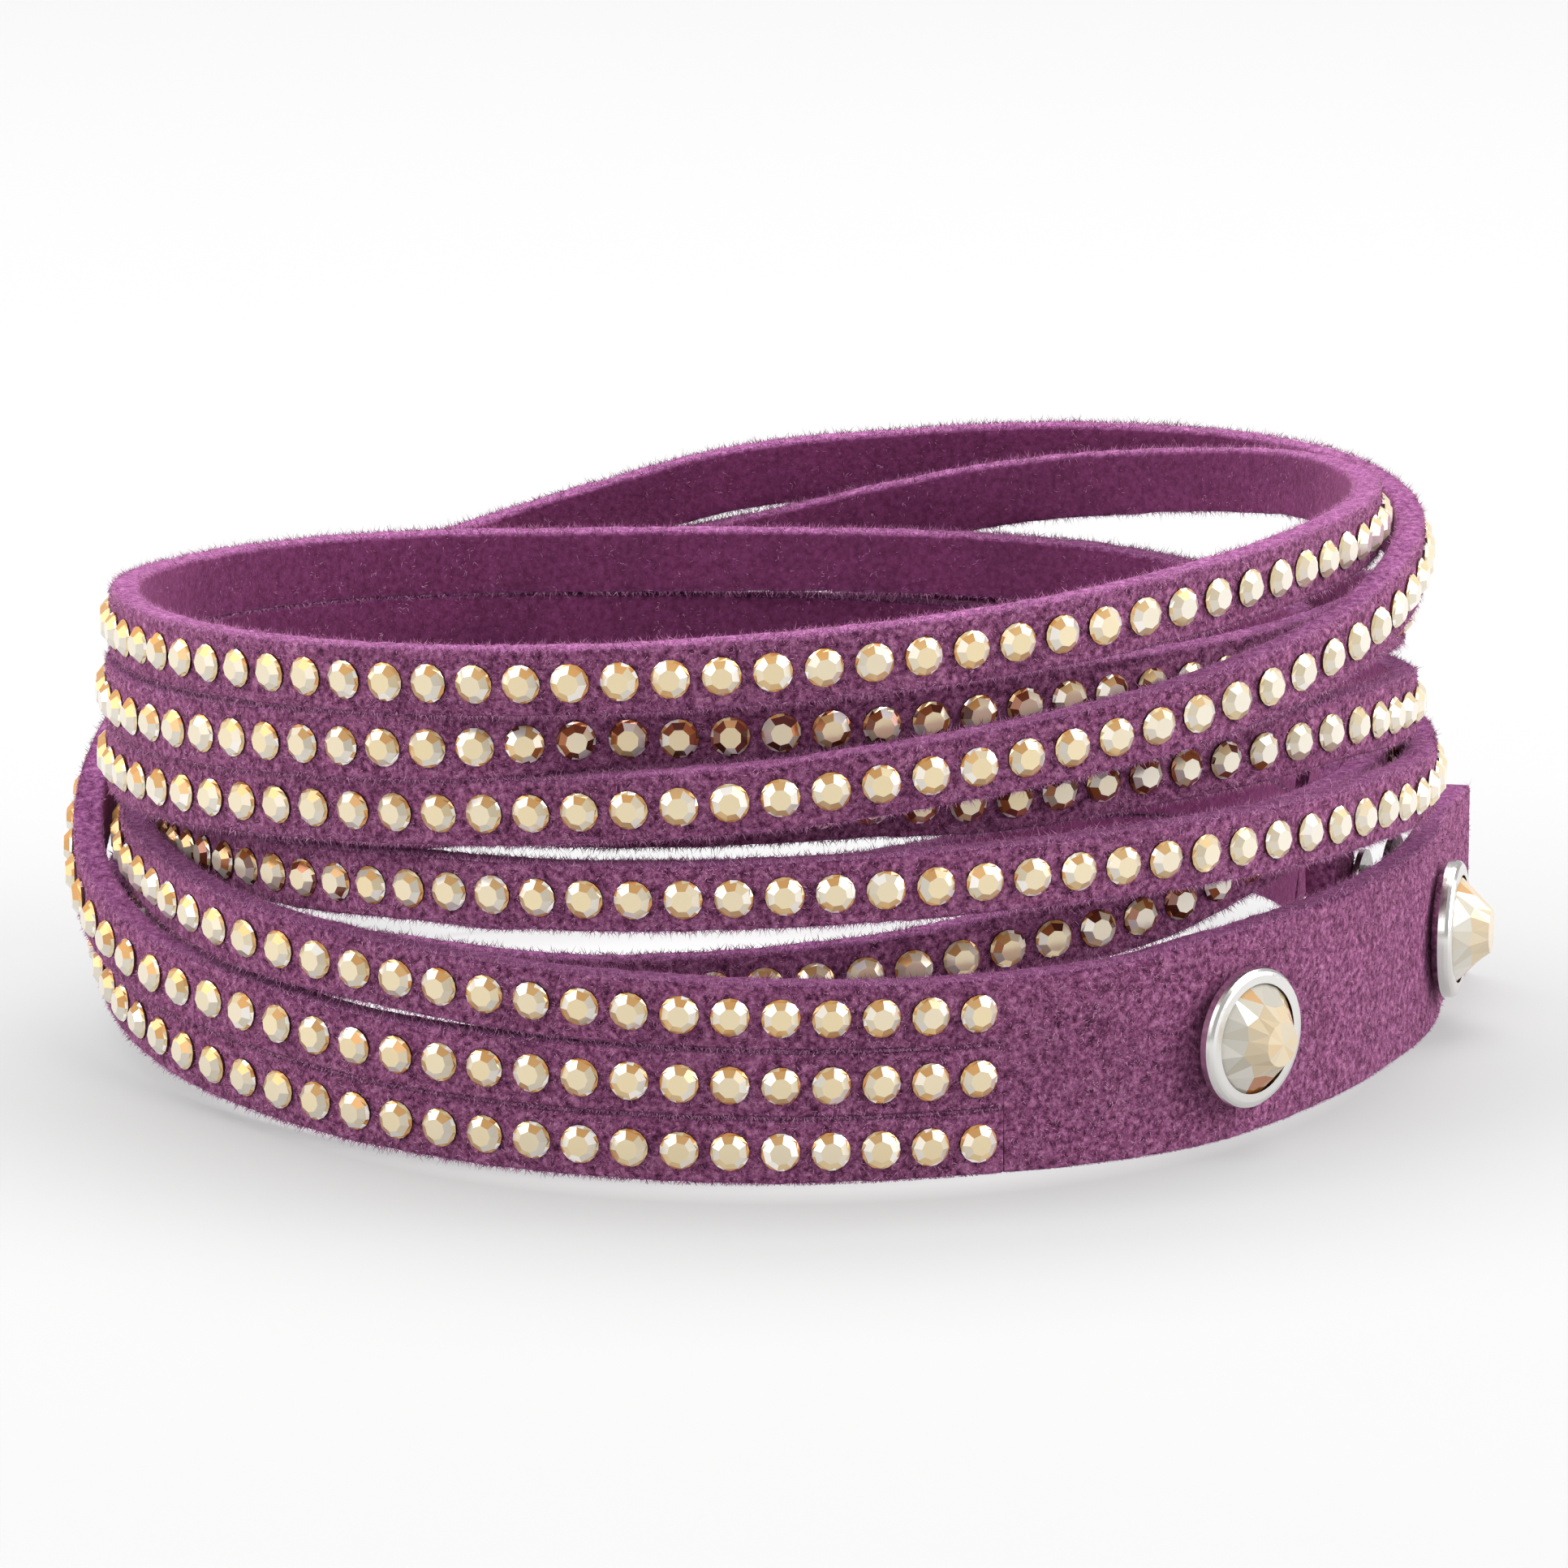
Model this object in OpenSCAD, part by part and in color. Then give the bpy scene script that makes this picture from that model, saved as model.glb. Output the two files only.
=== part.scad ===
// Wrap bracelet: one microsuede strap, slit into three strands, wound three times
// round and snapped shut. Millimetres, +Z up, the strap's lower edge on z = 0.

/* [Strap] */
// Width of the strap where its slits begin and end
strap_w = 9.7; // [9.2:0.1:9.7]
// Thickness of the microsuede
strap_t = 1.5; // [1:0.1:1.5]
// Clear width of the two slits that part the strands
slit_w = 0.08; // [0.08:0.02:0.4]

/* [Loop] */
// Mean radius of the wound loop, to the strap's outer face
loop_r = 30; // [28:0.5:34]
// How much wider the loop is across than from front to back
loop_oval = 2.9; // [1:0.1:4]
// How far the loop is full at its two back corners
loop_corner = 1.1; // [0:0.1:1.5]
// How far the loop leans over to its right back
loop_skew = 0.3; // [0:0.1:0.6]
// Shift of the loop's winding centre [to the right, to the back]
loop_shift = [0.9, 1.8]; // [0:0.1:2]

/* [Row stones] */
// Diameter of a row stone
stone_d = 1.9; // [1.6:0.1:2]
// Height of a row stone above the suede
stone_h = 0.55; // [0.4:0.05:0.6]
// Diameter of a row stone's flat table
table_d = 1; // [0.8:0.1:1.2]
// Spacing of the stones along a strand
stone_pitch = 2.43; // [2.3:0.01:3]
// Clearance between a stone's flat back and the suede
stone_seat = 0.1; // [0.1:0.01:0.15]

/* [Studs] */
// Diameter of a stud's setting
stud_d = 7; // [6:0.1:7.2]
// Height of a stud's setting
stud_h = 1.2; // [1:0.1:1.6]
// Diameter of a stud's stone at its girdle
gem_d = 5.9; // [5:0.1:6]
// Height of a stud's stone above its girdle
gem_h = 2; // [1.4:0.1:2.2]
// Places of the two studs along the wrap, in degrees of turn
stud_turns = [36, -5]; // [-5:1:40]

/* [Snaps] */
// Diameter of a socket's flange, under a stud
flange_d = 9.4; // [8:0.1:9.6]
// Diameter of the post's flange, on the inner end
post_flange_d = 7.6; // [6:0.1:8]
// Thickness of these flanges
flange_t = 0.3; // [0.25:0.05:0.4]
// Outer diameter of the socket's collar
collar_d = 6; // [5:0.1:6.4]
// Diameter of the post that the socket grips
post_d = 3; // [2.6:0.1:3.2]
// Diameter of the rivet shanks through the suede
shank_d = 1.6; // [1.2:0.1:2]

/* [Hidden] */

// A place on the wrap is a turn angle: 0 at the right, 90 at the front, 180 at the
// left, 270 at the back, and on past 360 and 720 for the second and third turn.
// Columns of every path: turn angle, height of the centre line, and how far the
// outer face stands outside the loop's own line. An end has its width beside them.
at_turn = 0;
at_height = 1;
at_out = 2;
at_width = 3;

// The uncut end that lies outside, from its free end to where the slits begin
outer_tab = [
    [-19, 5, 5.1, 10],
    [-12, 5, 2.4, 10],
    [-5, 5, 1.4, 10],
    [1, 5, 0.8, 10],
    [8, 5, 0.2, 10],
    [20, 5.1, 0.2, 10.2],
    [30, 5.15, 0.65, 10.3],
    [40, 5.15, 1.15, 10.3],
    [50, 4.95, 1, 9.9],
    [62, 4.85, 0.3, strap_w]];

// The uncut end that lies inside, from where the slits end to its cut end
inner_tab = [
    [1062, 8.55, -3.25, strap_w],
    [1067, 7.2, -3.1, 9.9],
    [1073, 5.95, -2.95, 10],
    [1078, 5.4, -3.25, 10],
    [1083, 5.15, -3.4, 10]];

// The strand that starts as the top one
upper_strand = [
    [100, 8.6, 0.1], [140, 9.3, 0], [150, 9.5, -0.1], [160, 9.75, -0.5],
    [168, 9.9, -0.9], [180, 10, -1], [195, 10.5, -0.8], [205, 11.2, -0.6],
    [212, 12, 0.1], [225, 13.6, 0.8],
    [240, 15.5, 0.8], [255, 17.8, 0.8], [270, 19.4, 0.1], [277, 20.2, -0.3],
    [285, 21.2, -0.5], [300, 22.9, -0.7], [315, 24.2, -1.3], [330, 25.4, -1.6],
    [345, 26.1, -1.75], [370, 26.8, -1.75], [390, 26.8, -1], [410, 26.4, -0.3],
    [450, 25.3, 0.4], [490, 23.75, 0.6], [525, 22.3, -0.2], [545, 21.5, -0.7],
    [565, 20.6, -1.4], [585, 20, -1.9], [610, 19.5, -2.3], [640, 19.4, -2.8],
    [670, 19, -2.4], [690, 18.3, -2.3], [698, 17.5, -2.2], [707, 16.9, -1.1],
    [716, 17.1, 0.1], [725, 17.7, -0.1], [738, 18.5, -0.3], [755, 18.3, -1.5],
    [765, 18.2, -1.9], [780, 17.9, -2.15], [795, 18.05, -2.35], [825, 17.5, -2.4],
    [845, 17, -2.4], [860, 16.5, -2.5], [890, 15.3, -2.7], [905, 14.7, -3.7],
    [918, 14, -4.55], [935, 13.1, -4.75], [950, 12.5, -4.6], [980, 11.6, -4.4],
    [1000, 11.3, -4.3], [1020, 11.7, -4.2], [1040, 12.3, -3.85], [1053, 12.25, -3.5]];

// The strand that starts between the two others
middle_strand = [
    [100, 5.15, 0.1], [130, 5.3, 0.1], [150, 5.9, 0.3], [165, 6.5, 0.8],
    [180, 8.3, 1.35], [195, 11.6, 1.6], [210, 15.2, 1.6], [225, 17.5, 1.2],
    [240, 19.2, 0.9], [255, 21.2, 1], [270, 22.95, 1.4], [285, 23.7, 1.8],
    [300, 24.4, 1.8], [315, 24.9, 1.5], [330, 25.2, 1], [345, 25, 0.5],
    [360, 24.5, 0.4], [380, 23, 0.6], [400, 21.6, 0.6], [430, 20, 0.1],
    [445, 19.2, -0.1], [460, 18.5, -0.2], [480, 17.6, -0.2], [500, 16.7, -0.1],
    [525, 15.4, -0.1], [545, 14.7, -0.5], [553, 14.3, -1.6], [560, 14.1, -2.35],
    [570, 13.7, -2.55], [590, 13.1, -2], [620, 12.4, -1.8], [660, 11.6, -1.8],
    [682, 11, -1.6], [692, 12.1, -1.7], [700, 13.2, -1.5], [707, 13.6, -1.35],
    [716, 13.75, -1.2], [730, 13.6, -1.2], [741, 13.6, -1.2], [747, 13.1, -1.2], [753, 12.4, -1.3],
    [758, 11.8, -1.4], [765, 11.2, -1.6],
    [778, 10.55, -2.1], [790, 9.9, -2.2], [800, 9.55, -2.2], [830, 8.65, -2.2],
    [845, 8.6, -2.2], [860, 8.35, -2.3], [880, 7.5, -2.8], [892, 6.9, -2.85],
    [902, 6.5, -2.3], [912, 6.1, -1.6], [925, 5.9, -1.5], [940, 5.9, -1.5],
    [960, 6, -1.6], [980, 6.6, -2.3], [995, 7.3, -3.4], [1012, 7.5, -4.15],
    [1026, 7.95, -4.1], [1040, 8.85, -3.85], [1053, 9, -3.5]];

// The strand that starts as the bottom one
lower_strand = [
    [100, 1.8, 0], [130, 2, 0], [155, 2.65, 0.1], [170, 3.4, 0.1], [180, 4.2, 0.2],
    [188, 5, 0.4], [195, 5.7, 0.7], [210, 7.2, 0.8], [240, 10.6, 0.8],
    [270, 14, 0.8], [300, 16.6, 0.8], [330, 18.9, 0.6], [345, 20.4, 0.2],
    [355, 21.2, -0.9], [362, 21.7, -1.6], [370, 22, -2], [385, 22.3, -2.1],
    [410, 22.5, -2.1], [430, 22.1, -2.15], [442, 21.9, -2.25], [455, 21.55, -2.25],
    [465, 21.45, -1.85], [474, 21.2, -0.4], [482, 20.8, 0.2], [490, 20.45, 0.4],
    [525, 18.7, 0.2],
    [545, 18.1, -0.5], [565, 17.3, -1.3], [585, 16.7, -1.8], [610, 16.1, -2],
    [640, 15.7, -2.1], [665, 15.1, -1.9], [677, 14.9, -1.6], [686, 14.9, -0.6],
    [690, 14.8, 0], [694, 14.5, 0.5], [700, 13.9, 0.9], [708, 13.5, 1.1],
    [716, 13.4, 1.2], [726, 13.7, 1.2], [735, 14.2, 1.2], [765, 14.8, 1.2],
    [795, 14.6, 0.4], [825, 13.95, -0.2], [845, 13.4, -1], [860, 12.7, -1.8],
    [885, 11.6, -3.05], [900, 10.6, -3.3], [907, 9.9, -3.5], [915, 8.8, -3.8],
    [930, 6.2, -3.9], [945, 3.6, -3.9], [957, 2, -3.9], [968, 1.7, -3.9],
    [980, 1.7, -3.9], [1000, 1.7, -4], [1020, 3.5, -4.1], [1032, 4.85, -4],
    [1042, 5.45, -3.85], [1053, 5.75, -3.5]];

// Columns of a strand: its path, and where it lies in the uncut strap, 1 at the top
strand_path = 0;
strand_level = 1;
strands = [[upper_strand, 1], [middle_strand, 0], [lower_strand, -1]];

// Stretches of each row, in degrees of turn, whose stones are single cut solids
stone_stretches = [
    [[66, 174], [368, 540], [735, 800]],
    [[66, 180], [361, 540], [760, 830]],
    [[66, 176], [368, 540], [732, 886]]];
// Stretches of each row, hidden at the back, that are a low band
band_stretches = [
    [[178, 364], [544, 731], [804, 1036]],
    [[184, 357], [544, 754], [834, 1036]],
    [[180, 364], [544, 728], [892, 1036]]];

strand_w = strap_w / 3 - slit_w;
slit_start = outer_tab[len(outer_tab) - 1][at_turn];
slit_end = inner_tab[0][at_turn];

// Rings of corners along a tab and along a strand
tab_rings = 14;
strand_rings = 166;

// Turns of the first stone of a row, and past its last one
first_stone = 64.7;
last_stone = 1042;

// Play of a flange on the hollow side of the suede, of one on its round side, and
// between metal parts that fit one in the other
hollow_seat = 0.75;
round_seat = 0.15;
play = 0.1;

// Width of the post's cap inside the inner tab
cap_d = 3;

// Height of the bands, a little lower than the stones
band_h = 0.45;

// Heights in a stud's setting, from the suede: pocket floor and foot of the lip
pocket_floor = 0.45;
lip_foot = 0.95;
lip_w = 0.75;
pocket_wall = 0.5;
girdle_h = 0.35;

// Facets round the stud's stone, and its middle ring of corners
gem_facets = 8;
gem_mid_r = 0.55;
gem_mid_h = 0.68;

suede = "#7d4072";
champagne = "#e8c393";
dark_champagne = "#c79a62";
silver = "#d4d4d6";

// Puts the middle of the whole bracelet, seen from above, on the origin
origin_shift = [2, 1.4, 0];

// Interpolation along a path

function path_row(path, turn, i = 0) =
    i < len(path) - 2 && path[i + 1][at_turn] <= turn ? path_row(path, turn, i + 1) : i;

function row_slope(path, i, col) =
    let(a = path[max(i - 1, 0)], b = path[min(i + 1, len(path) - 1)])
    (b[col] - a[col]) / (b[at_turn] - a[at_turn]);

// Smooth value of one column at a turn angle, through every row of the path
function along(path, turn, col) =
    let(i = path_row(path, turn),
        a = path[i],
        b = path[i + 1],
        span = b[at_turn] - a[at_turn],
        t = (turn - a[at_turn]) / span)
    (2 * t ^ 3 - 3 * t ^ 2 + 1) * a[col]
    + (t ^ 3 - 2 * t ^ 2 + t) * span * row_slope(path, i, col)
    + (3 * t ^ 2 - 2 * t ^ 3) * b[col]
    + (t ^ 3 - t ^ 2) * span * row_slope(path, i + 1, col);

// Places on the wrap

function loop_radius(turn) =
    loop_r + loop_shift.x * cos(turn) - loop_shift.y * sin(turn)
    + loop_oval * cos(2 * turn) - loop_skew * sin(2 * turn) - loop_corner * sin(3 * turn);

// The outer face's centre line
function line_point(path, turn) =
    let(r = loop_radius(turn) + along(path, turn, at_out))
    [r * cos(turn), -r * sin(turn), along(path, turn, at_height)] - origin_shift;

function unit(v) = v / norm(v);

// Directions of the strap at a turn angle: out of the loop, and up across the strap
function facing(path, turn) =
    let(ahead = unit(line_point(path, turn + 1) - line_point(path, turn - 1)),
        out = unit([-ahead.y, ahead.x, 0]))
    [out, cross(ahead, out)];

// A point of the strap: across is measured up from the centre line, and depth
// inward from the outer face
function strap_point(path, turn, across = 0, depth = 0) =
    let(f = facing(path, turn))
    line_point(path, turn) + across * f[1] - depth * f[0];

// A tab's row, moved across the tab to the middle of a strand's share of it
function shifted_row(row, strand) =
    [row[at_turn], row[at_height] + strand[strand_level] * row[at_width] / 3, row[at_out]];

// Path of a strand with the ends of the two tabs that it runs into
function full_path(strand) =
    let(n = len(outer_tab))
    concat(
        [shifted_row(outer_tab[n - 2], strand), shifted_row(outer_tab[n - 1], strand)],
        strand[strand_path],
        [shifted_row(inner_tab[0], strand), shifted_row(inner_tab[1], strand)]);

function between(a, b, i, n) = a + (b - a) * i / n;

// Faces

function quad(a, b, c, d) = [[a, b, c], [a, c, d]];

// A closed sweep through the turns given. A section lists corners [across, depth]
// in order: outer upper, outer lower, inner lower, inner upper.
module sweep(path, turns, section) {
    n = len(section);
    end = len(turns) - 1;
    points = [for (turn = turns, corner = section)
        strap_point(path, turn, corner[0], corner[1])];
    sides = [for (i = [0:end - 1], k = [0:n - 1])
        let(next = (k + 1) % n)
        each quad(i * n + k, i * n + next, (i + 1) * n + next, (i + 1) * n + k)];
    first = [for (k = [n - 1:-1:0]) k];
    last = [for (k = [0:n - 1]) end * n + k];
    polyhedron(points, concat([first], sides, [last]), convexity = 10);
}

// The strap

// Corners of a tab's ring: four levels down the outer face, and four down the inner,
// as parts of the tab's width
tab_levels = [1 / 2, 1 / 6, -1 / 6, -1 / 2];
ring_size = 2 * len(tab_levels);

function tab_points(tab) =
    let(from = tab[0][at_turn], to = tab[len(tab) - 1][at_turn])
    [for (i = [0:tab_rings], depth = [0, strap_t], level = tab_levels)
        let(turn = between(from, to, i, tab_rings))
        strap_point(tab, turn, level * along(tab, turn, at_width), depth)];

function ring_turn(i) = between(slit_start, slit_end, i, strand_rings);

// Rings of a strand between the two tabs, whose corners are: outer upper, outer
// lower, inner upper, inner lower
function strand_points(strand) =
    let(path = full_path(strand))
    [for (i = [1:strand_rings - 1], depth = [0, strap_t], side = [1, -1])
        strap_point(path, ring_turn(i), side * strand_w / 2, depth)];

tab_size = ring_size * (tab_rings + 1);
strand_size = 4 * (strand_rings - 1);

function tab_corner(base, ring, inner, level) = base + ring * ring_size + inner * 4 + level;

// At both ends a strand takes its corners from the tab that it is cut out of
function strand_corner(s, ring, inner, lower) =
    ring == 0 ? tab_corner(0, tab_rings, inner, s + lower)
    : ring == strand_rings ? tab_corner(tab_size, 0, inner, s + lower)
    : 2 * tab_size + s * strand_size + (ring - 1) * 4 + inner * 2 + lower;

function tab_faces(base) = concat(
    [for (i = [0:tab_rings - 1], k = [0:2]) each quad(
        tab_corner(base, i, 0, k), tab_corner(base, i, 0, k + 1),
        tab_corner(base, i + 1, 0, k + 1), tab_corner(base, i + 1, 0, k))],
    [for (i = [0:tab_rings - 1], k = [0:2]) each quad(
        tab_corner(base, i, 1, k), tab_corner(base, i + 1, 1, k),
        tab_corner(base, i + 1, 1, k + 1), tab_corner(base, i, 1, k + 1))],
    [for (i = [0:tab_rings - 1]) each quad(
        tab_corner(base, i, 0, 0), tab_corner(base, i + 1, 0, 0),
        tab_corner(base, i + 1, 1, 0), tab_corner(base, i, 1, 0))],
    [for (i = [0:tab_rings - 1]) each quad(
        tab_corner(base, i, 0, 3), tab_corner(base, i, 1, 3),
        tab_corner(base, i + 1, 1, 3), tab_corner(base, i + 1, 0, 3))]);

function strand_faces(s) =
    [for (i = [0:strand_rings - 1]) each concat(
        quad(strand_corner(s, i, 0, 0), strand_corner(s, i, 0, 1),
            strand_corner(s, i + 1, 0, 1), strand_corner(s, i + 1, 0, 0)),
        quad(strand_corner(s, i, 1, 0), strand_corner(s, i + 1, 1, 0),
            strand_corner(s, i + 1, 1, 1), strand_corner(s, i, 1, 1)),
        quad(strand_corner(s, i, 0, 0), strand_corner(s, i + 1, 0, 0),
            strand_corner(s, i + 1, 1, 0), strand_corner(s, i, 1, 0)),
        quad(strand_corner(s, i, 0, 1), strand_corner(s, i, 1, 1),
            strand_corner(s, i + 1, 1, 1), strand_corner(s, i + 1, 0, 1)))];

function cut_end(base, ring, first) =
    [for (k = [0:2]) each first
        ? quad(tab_corner(base, ring, 0, k), tab_corner(base, ring, 1, k),
            tab_corner(base, ring, 1, k + 1), tab_corner(base, ring, 0, k + 1))
        : quad(tab_corner(base, ring, 0, k), tab_corner(base, ring, 0, k + 1),
            tab_corner(base, ring, 1, k + 1), tab_corner(base, ring, 1, k))];

module strap() {
    points = concat(
        tab_points(outer_tab),
        tab_points(inner_tab),
        [for (strand = strands) each strand_points(strand)]);
    faces = concat(
        cut_end(0, 0, true),
        tab_faces(0),
        [for (s = [0:2]) each strand_faces(s)],
        tab_faces(tab_size),
        cut_end(tab_size, tab_rings, false));
    color(suede) difference() {
        polyhedron(points, faces, convexity = 20);
        for (turn = stud_turns)
            at_stud(turn)
                cylinder(d = shank_d, h = 4 * strap_t, center = true, $fn = 24);
        at_stud(stud_turns[1])
            translate([0, 0, -strap_t - snap_gap])
                cylinder(d = shank_d, h = 3 * strap_t, center = true, $fn = 24);
    }
}

// The rows of stones

// Degrees of turn from one stone to the next, where the strand has a given place
function stone_step(path, turn) =
    stone_pitch * 2 / norm(line_point(path, turn + 2) - line_point(path, turn));

// Turn angles of all the stones that a strand has
function stone_turns(path) =
    [for (turn = first_stone; turn < last_stone; turn = turn + stone_step(path, turn)) turn];

function inside_any(turn, stretches) =
    len([for (s = stretches) if (s[0] <= turn && turn <= s[1]) s]) > 0;

// A small brilliant with a flat back, a table and eight facets
module row_stone() {
    cylinder(h = stone_h, d1 = stone_d, d2 = table_d, $fn = 8);
}

module row_stones(s) {
    path = full_path(strands[s]);
    color(champagne)
        for (turn = stone_turns(path))
            if (inside_any(turn, stone_stretches[s]))
                at_place(path, turn)
                    translate([0, 0, stone_seat])
                        row_stone();
}

// A low ridge as wide as the stones, on the strand's own rings
module row_band(s) {
    rings = [for (i = [1:strand_rings - 1]) ring_turn(i)];
    foot = -stone_seat;
    top = foot - band_h;
    section = [[table_d / 2, top], [-table_d / 2, top],
        [-stone_d / 2, foot], [stone_d / 2, foot]];
    color(dark_champagne)
        for (stretch = band_stretches[s])
            sweep(full_path(strands[s]),
                [for (turn = rings) if (inside_any(turn, [stretch])) turn], section);
}

// The studs and snaps, each drawn upright on the suede's outer face at z = 0

// Moves a child from z = 0 to the outer face at a turn angle, pointing out
module at_place(path, turn) {
    out = facing(path, turn)[0];
    translate(strap_point(path, turn))
        rotate([0, 90, atan2(out.y, out.x)])
            children();
}

module at_stud(turn) {
    at_place(outer_tab, turn) children();
}

// Clear height between the two tabs where the snap joins them
snap_gap = (strap_point(outer_tab, stud_turns[1], 0, strap_t)
    - strap_point(inner_tab, stud_turns[1] + 1080)) * facing(outer_tab, stud_turns[1])[0];
flange_top = hollow_seat + flange_t;
collar_h = snap_gap - flange_top - round_seat - flange_t - play;

// A cup with a rolled lip that holds the stone, on a rivet shank
module stud_setting(turn) {
    r = stud_d / 2;
    edge = 0.35;
    lip_r = r - lip_w;
    pocket_r = r - pocket_wall;
    shank_r = shank_d / 2 - play;
    color(silver) at_stud(turn) rotate_extrude($fn = 64) polygon(concat(
        [[0, -strap_t - hollow_seat + play], [shank_r, -strap_t - hollow_seat + play],
            [shank_r, round_seat], [r - edge, round_seat], [r, round_seat + edge]],
        [for (a = [0:30:90]) [r - edge + edge * cos(a), stud_h - edge + edge * sin(a)]],
        [[lip_r, stud_h], [pocket_r, lip_foot], [pocket_r, pocket_floor],
            [0, pocket_floor]]));
}

// A rose cut: eight facets to a point, ringed by eight kites and sixteen half facets
module stud_stone(turn) {
    n = gem_facets;
    r = gem_d / 2;
    foot = pocket_floor + play / 2;
    girdle = foot + girdle_h;
    tip = [[0, 0, girdle + gem_h]];
    middle = [for (i = [0:n - 1]) let(a = (i + 0.5) * 360 / n)
        [gem_mid_r * r * cos(a), gem_mid_r * r * sin(a), girdle + gem_mid_h * gem_h]];
    rim = [for (z = [girdle, foot], i = [0:2 * n - 1]) let(a = i * 180 / n)
        [r * cos(a), r * sin(a), z]];
    mid = 1;
    upper = mid + n;
    lower = upper + 2 * n;
    faces = concat(
        [for (i = [0:n - 1]) let(next = (i + 1) % n) each [
            [0, mid + next, mid + i],
            [mid + i, upper + 2 * i + 1, upper + 2 * i],
            [mid + i, upper + (2 * i + 2) % (2 * n), upper + 2 * i + 1],
            [mid + i, mid + next, upper + (2 * i + 2) % (2 * n)]]],
        [for (i = [0:2 * n - 1]) let(next = (i + 1) % (2 * n))
            each quad(upper + i, upper + next, lower + next, lower + i)],
        [[for (i = [0:2 * n - 1]) lower + i]]);
    color(champagne) at_stud(turn)
        polyhedron(concat(tip, middle, rim), faces, convexity = 4);
}

// A flange under the suede with a collar that grips the post
module snap_socket(turn) {
    color(silver) at_stud(turn) translate([0, 0, -strap_t]) difference() {
        union() {
            translate([0, 0, -flange_top])
                cylinder(d = flange_d, h = flange_t, $fn = 48);
            translate([0, 0, -flange_top - collar_h])
                cylinder(d = collar_d, h = collar_h + flange_t / 2, $fn = 48);
        }
        translate([0, 0, -flange_top - collar_h - play])
            cylinder(d = post_d + 2 * play, h = collar_h + play, $fn = 48);
    }
}

// Post on the inner tab: a cap inside, a shank through the suede, a flange and the post
module snap_post() {
    post_h = collar_h;
    cap_foot = -strap_t - hollow_seat;
    color(silver) at_stud(stud_turns[1]) translate([0, 0, -strap_t - snap_gap]) {
        translate([0, 0, cap_foot - flange_t])
            cylinder(d = cap_d, h = flange_t, $fn = 48);
        translate([0, 0, cap_foot - flange_t / 2])
            cylinder(r = shank_d / 2 - play, h = round_seat + flange_t - cap_foot, $fn = 48);
        translate([0, 0, round_seat])
            cylinder(d = post_flange_d, h = flange_t, $fn = 48);
        translate([0, 0, round_seat])
            cylinder(d = post_d, h = flange_t + post_h, $fn = 48);
    }
}

strap();
row_stones(0);  // upper_row_stones
row_stones(1);  // middle_row_stones
row_stones(2);  // lower_row_stones
row_band(0);  // upper_row_band
row_band(1);  // middle_row_band
row_band(2);  // lower_row_band
stud_setting(stud_turns[0]);  // stud_setting_1
stud_setting(stud_turns[1]);  // stud_setting_2
stud_stone(stud_turns[0]);  // stud_stone_1
stud_stone(stud_turns[1]);  // stud_stone_2
snap_socket(stud_turns[0]);  // snap_socket_1
snap_socket(stud_turns[1]);  // snap_socket_2
snap_post();
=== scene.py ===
import math
import random

import bpy
import numpy as np
from mathutils import Euler, Matrix, Vector, noise


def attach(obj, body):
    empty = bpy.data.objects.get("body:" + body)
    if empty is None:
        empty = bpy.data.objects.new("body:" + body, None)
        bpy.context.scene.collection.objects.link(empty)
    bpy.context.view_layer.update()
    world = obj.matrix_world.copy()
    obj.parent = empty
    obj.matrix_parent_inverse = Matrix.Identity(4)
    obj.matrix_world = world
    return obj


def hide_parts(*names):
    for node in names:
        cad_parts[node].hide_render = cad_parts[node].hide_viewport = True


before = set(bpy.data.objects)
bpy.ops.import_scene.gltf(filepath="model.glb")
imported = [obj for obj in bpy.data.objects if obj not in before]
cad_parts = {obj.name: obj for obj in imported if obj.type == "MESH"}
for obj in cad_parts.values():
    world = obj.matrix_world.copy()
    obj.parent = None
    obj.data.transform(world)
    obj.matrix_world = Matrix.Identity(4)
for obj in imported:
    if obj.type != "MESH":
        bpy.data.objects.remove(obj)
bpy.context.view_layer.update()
mm = 0.001

print("stage: camera, floor and light")

# lengths are in mm and powers in watts; a long lens well back from the bracelet looks
# down at it by 14 degrees
view = {"place": (0.3, -469.0, 129.9), "aim": (0.3, -1.4, 13.3), "lens": 220, "sensor": 36}
worldLight = 0.5
softboxes = {
    "overhead": {"place": (-40, 260, 640), "aim": (0, 0, 0), "size": (840, 460), "power": 9.6},
    "front": {"place": (-330, -640, 400), "aim": (0, 0, 15), "size": (640, 560), "power": 1.4},
    "left": {"place": (-600, -60, 380), "aim": (0, 0, 15), "size": (620, 640), "power": 3.8},
    "side": {"place": (620, -60, 340), "aim": (0, 0, 15), "size": (560, 620), "power": 6.2},
}
# the glow falls from the hollow's painted pool of light to the table's even glow between the two
# distances of "hollow"
table = {"width": 6000, "colour": "#838383", "glow": 0.33, "hollowPaintedLight": 0.78, "hollow": (25, 31)}


def linear(hexText):
    # an sRGB hex colour as linear red, green, blue
    parts = [int(hexText[i:i + 2], 16) / 255 for i in (1, 3, 5)]
    return [c / 12.92 if c <= 0.04045 else ((c + 0.055) / 1.055) ** 2.4 for c in parts] + [1]


def addNode(tree, kind, settings=None, links=None):
    # one node, its settings by socket or property name, and the sockets that feed it
    node = tree.nodes.new(kind)
    for name, value in (settings or {}).items():
        if isinstance(name, int) or name in node.inputs:
            node.inputs[name].default_value = value
        else:
            setattr(node, name, value)
    for name, source in (links or {}).items():
        tree.links.new(source, node.inputs[name])
    return node


def newMaterial(name):
    material = bpy.data.materials.new(name)
    material.use_nodes = True
    material.node_tree.nodes.clear()
    return material, material.node_tree


def objectPlace(tree):
    return addNode(tree, "ShaderNodeTexCoord").outputs["Object"]


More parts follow.
